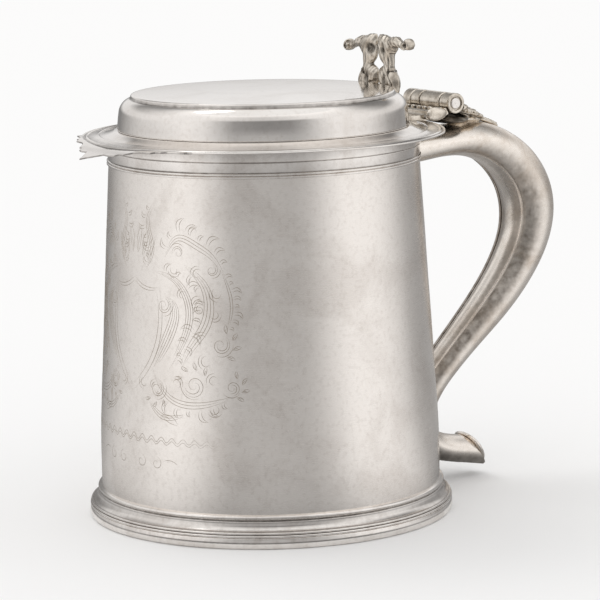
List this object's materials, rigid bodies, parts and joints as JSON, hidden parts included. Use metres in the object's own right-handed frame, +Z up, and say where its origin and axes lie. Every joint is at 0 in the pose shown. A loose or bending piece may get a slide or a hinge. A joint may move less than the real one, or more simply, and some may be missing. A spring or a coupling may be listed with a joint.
{
  "type": "lidded tankard",
  "caption": "Straight-sided tapered metal tankard with a stepped flat hinged lid, serrated peak, scroll thumbpiece and hollow scroll handle.",
  "frame": {"origin": "centre of the foot ring's underside, on the surface the tankard stands on", "axes": "+Z up along the vessel's axis, +X towards the handle, the peak towards -X, hinge axis along Y"},
  "size_m": [0.2023, 0.1312, 0.1684],
  "materials": {
    "wall": "satin, finely scratched old polish",
    "moulding": "polished mouldings with tarnish in the grooves",
    "handle": "worn polish with warm tarnish",
    "lid": "brighter polish",
    "cast": "cast, tarnish in the recesses",
    "pin": "bright turned end"
  },
  "bodies": {
    "vessel": {"body_wall": "wall", "base_disc": "wall", "foot_ring": "moulding", "rim_moulding": "moulding", "handle_shell": "handle", "handle_strap": "handle", "tail_shield": "handle", "handle_hinge_leaf": "cast", "leaf_drop": "cast", "handle_knuckles": "cast", "hinge_pin": "pin"},
    "lid": {"lid_cap": "lid", "lid_flange": "lid", "lid_bezel": "lid", "hinge_bar": "cast", "bracket_plate": "lid", "bar_beading": "cast", "bar_bosses": "cast", "lid_knuckles": "cast", "thumb_foot": "cast", "thumb_scroll_near": "cast", "thumb_scroll_far": "cast"}
  },
  "joints": [
    {"name": "lid_hinge", "type": "hinge", "parent": "vessel", "child": "lid", "pos_m": [0.0744, 0, 0.1418], "axis": [0, 1, 0], "range_deg": [0, 105]}
  ]
}
